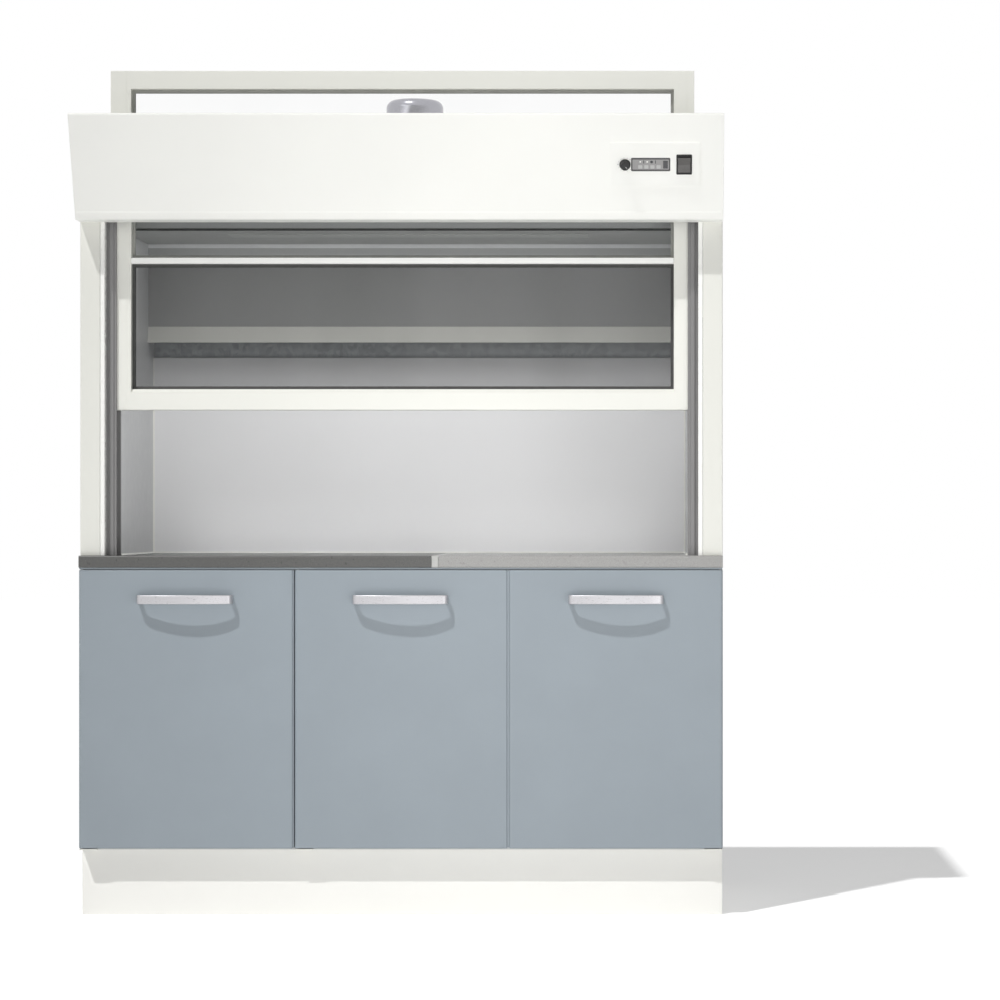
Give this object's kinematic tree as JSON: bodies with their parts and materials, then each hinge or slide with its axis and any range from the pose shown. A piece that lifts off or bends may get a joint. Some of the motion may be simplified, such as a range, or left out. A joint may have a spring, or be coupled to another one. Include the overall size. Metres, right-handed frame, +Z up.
{
  "type": "dental laboratory hood",
  "caption": "Free-standing extraction hood with a counterweighted vertical sash over a worktop, a sloping control canopy, a roof fan and a hinged-door base cabinet.",
  "frame": {"origin": "middle of the footprint, on the floor", "axes": "+X to the user's right, +Y away from the user, +Z up"},
  "size_m": [1.5, 0.825, 1.977],
  "materials": {
    "white_paint": "satin powder coat",
    "plinth_board": "white laminate on board",
    "door_front": "grey-blue laminate, satin",
    "carcass_board": "light grey laminate on board",
    "worktop_dark": "fine mineral composite, matt",
    "worktop_light": "fine mineral composite, matt",
    "joint_seal": "smooth silicone",
    "liner": "pale grey enamel",
    "galvanised": "galvanised sheet",
    "guide_profile": "dark anodised",
    "sash_profile": "white powder coat",
    "clear_glass": "clear, polished",
    "smoke_glass": "smoke tint, polished",
    "seal_rubber": "matt",
    "handle_metal": "satin silver",
    "plated_steel": "zinc plated",
    "dark_plastic": "fine grain",
    "grey_plastic": "fine grain",
    "slide_plastic": "smooth, waxy",
    "key_film": "polyester film",
    "panel_film": "satin film on sheet",
    "opal_cover": "opal",
    "filter_media": "pleated",
    "motor_metal": "cast, painted",
    "cowl_metal": "satin, spun",
    "weight_steel": "bare, oiled"
  },
  "bodies": {
    "root": {"plinth": "plinth_board", "levelling_feet": "plated_steel", "cabinet_uprights": "carcass_board", "cabinet_bottom": "carcass_board", "cabinet_rails": "carcass_board", "cabinet_back": "carcass_board", "shelves": "carcass_board", "shelf_pins": "plated_steel", "door_pivots": "plated_steel", "door_catches": "dark_plastic", "worktop_left": "worktop_dark", "worktop_joint": "joint_seal", "worktop_right": "worktop_light", "post_left": "white_paint", "post_right": "white_paint", "guide_left": "guide_profile", "guide_right": "guide_profile", "outer_sides": "white_paint", "chamber_linings": "liner", "back_wall": "liner", "baffle": "liner", "rear_cover": "galvanised", "ceiling": "liner", "roof_panel": "white_paint", "canopy_shell": "white_paint", "canopy_back": "galvanised", "control_plate": "panel_film", "key_strip": "key_film", "switch_body": "dark_plastic", "control_box": "grey_plastic", "lamp_housing": "white_paint", "lamp_diffuser": "opal_cover", "filter": "filter_media", "fan_housing": "galvanised", "fan_motor": "motor_metal", "motor_cowl": "cowl_metal", "outlet_spigot": "galvanised", "cable_gland": "dark_plastic", "pulley_axles": "plated_steel", "cable_wraps": "plated_steel"},
    "sash": {"sash_frame": "sash_profile", "sash_transom": "sash_profile", "glass_upper": "clear_glass", "glass_lower": "smoke_glass", "glazing_seals": "seal_rubber", "sash_sliders": "slide_plastic", "sash_cables": "plated_steel"},
    "weights": {"counterweights": "weight_steel", "weight_cables": "plated_steel"},
    "left_pulley": {"pulley_left": "grey_plastic"},
    "right_pulley": {"pulley_right": "grey_plastic"},
    "fan_wheel": {"impeller": "galvanised"},
    "speed_knob": {"knob": "dark_plastic"},
    "lamp_switch": {"rocker": "dark_plastic"},
    "left_door": {"door_left": "door_front", "handle_left": "handle_metal"},
    "middle_door": {"door_middle": "door_front", "handle_middle": "handle_metal"},
    "right_door": {"door_right": "door_front", "handle_right": "handle_metal"}
  },
  "joints": [
    {"name": "sash_slide", "type": "slide", "parent": "root", "child": "sash", "axis": [0, 0, 1], "range_m": [-0.34, 0.37], "deforming": ["sash_cables"]},
    {"name": "weights_slide", "type": "slide", "parent": "root", "child": "weights", "axis": [0, 0, 1], "range_m": [-0.3705, 0.3405], "deforming": ["weight_cables"]},
    {"name": "left_pulley_spin", "type": "hinge", "parent": "root", "child": "left_pulley", "pos_m": [-0.7045, -0.1865, 1.785], "axis": [0, 1, 0], "range_deg": [-1230, 1130]},
    {"name": "right_pulley_spin", "type": "hinge", "parent": "root", "child": "right_pulley", "pos_m": [0.7045, -0.1865, 1.785], "axis": [0, 1, 0], "range_deg": [-1130, 1230]},
    {"name": "fan_spin", "type": "hinge", "parent": "root", "child": "fan_wheel", "pos_m": [0, 0.1945, 1.745], "axis": [0, 0, 1], "continuous": true},
    {"name": "knob_turn", "type": "hinge", "parent": "root", "child": "speed_knob", "pos_m": [0.523, -0.36273, 1.74154], "axis": [0, -0.9145, -0.4047], "range_deg": [-270, 0]},
    {"name": "switch_rock", "type": "hinge", "parent": "root", "child": "lamp_switch", "pos_m": [0.659, -0.36273, 1.74154], "axis": [1, 0, 0], "range_deg": [-14, 0]},
    {"name": "left_door_swing", "type": "hinge", "parent": "root", "child": "left_door", "pos_m": [-0.743, -0.2555, 0.4835], "axis": [0, 0, -1], "range_deg": [0, 100]},
    {"name": "middle_door_swing", "type": "hinge", "parent": "root", "child": "middle_door", "pos_m": [-0.2405, -0.2555, 0.4835], "axis": [0, 0, -1], "range_deg": [0, 100]},
    {"name": "right_door_swing", "type": "hinge", "parent": "root", "child": "right_door", "pos_m": [0.743, -0.2555, 0.4835], "axis": [0, 0, 1], "range_deg": [0, 100]}
  ],
  "couplings": [
    {"joint": "weights_slide", "follows": "sash_slide", "ratio": -1},
    {"joint": "left_pulley_spin", "follows": "sash_slide", "rad_per_m": -57.143},
    {"joint": "right_pulley_spin", "follows": "sash_slide", "rad_per_m": 57.143}
  ]
}
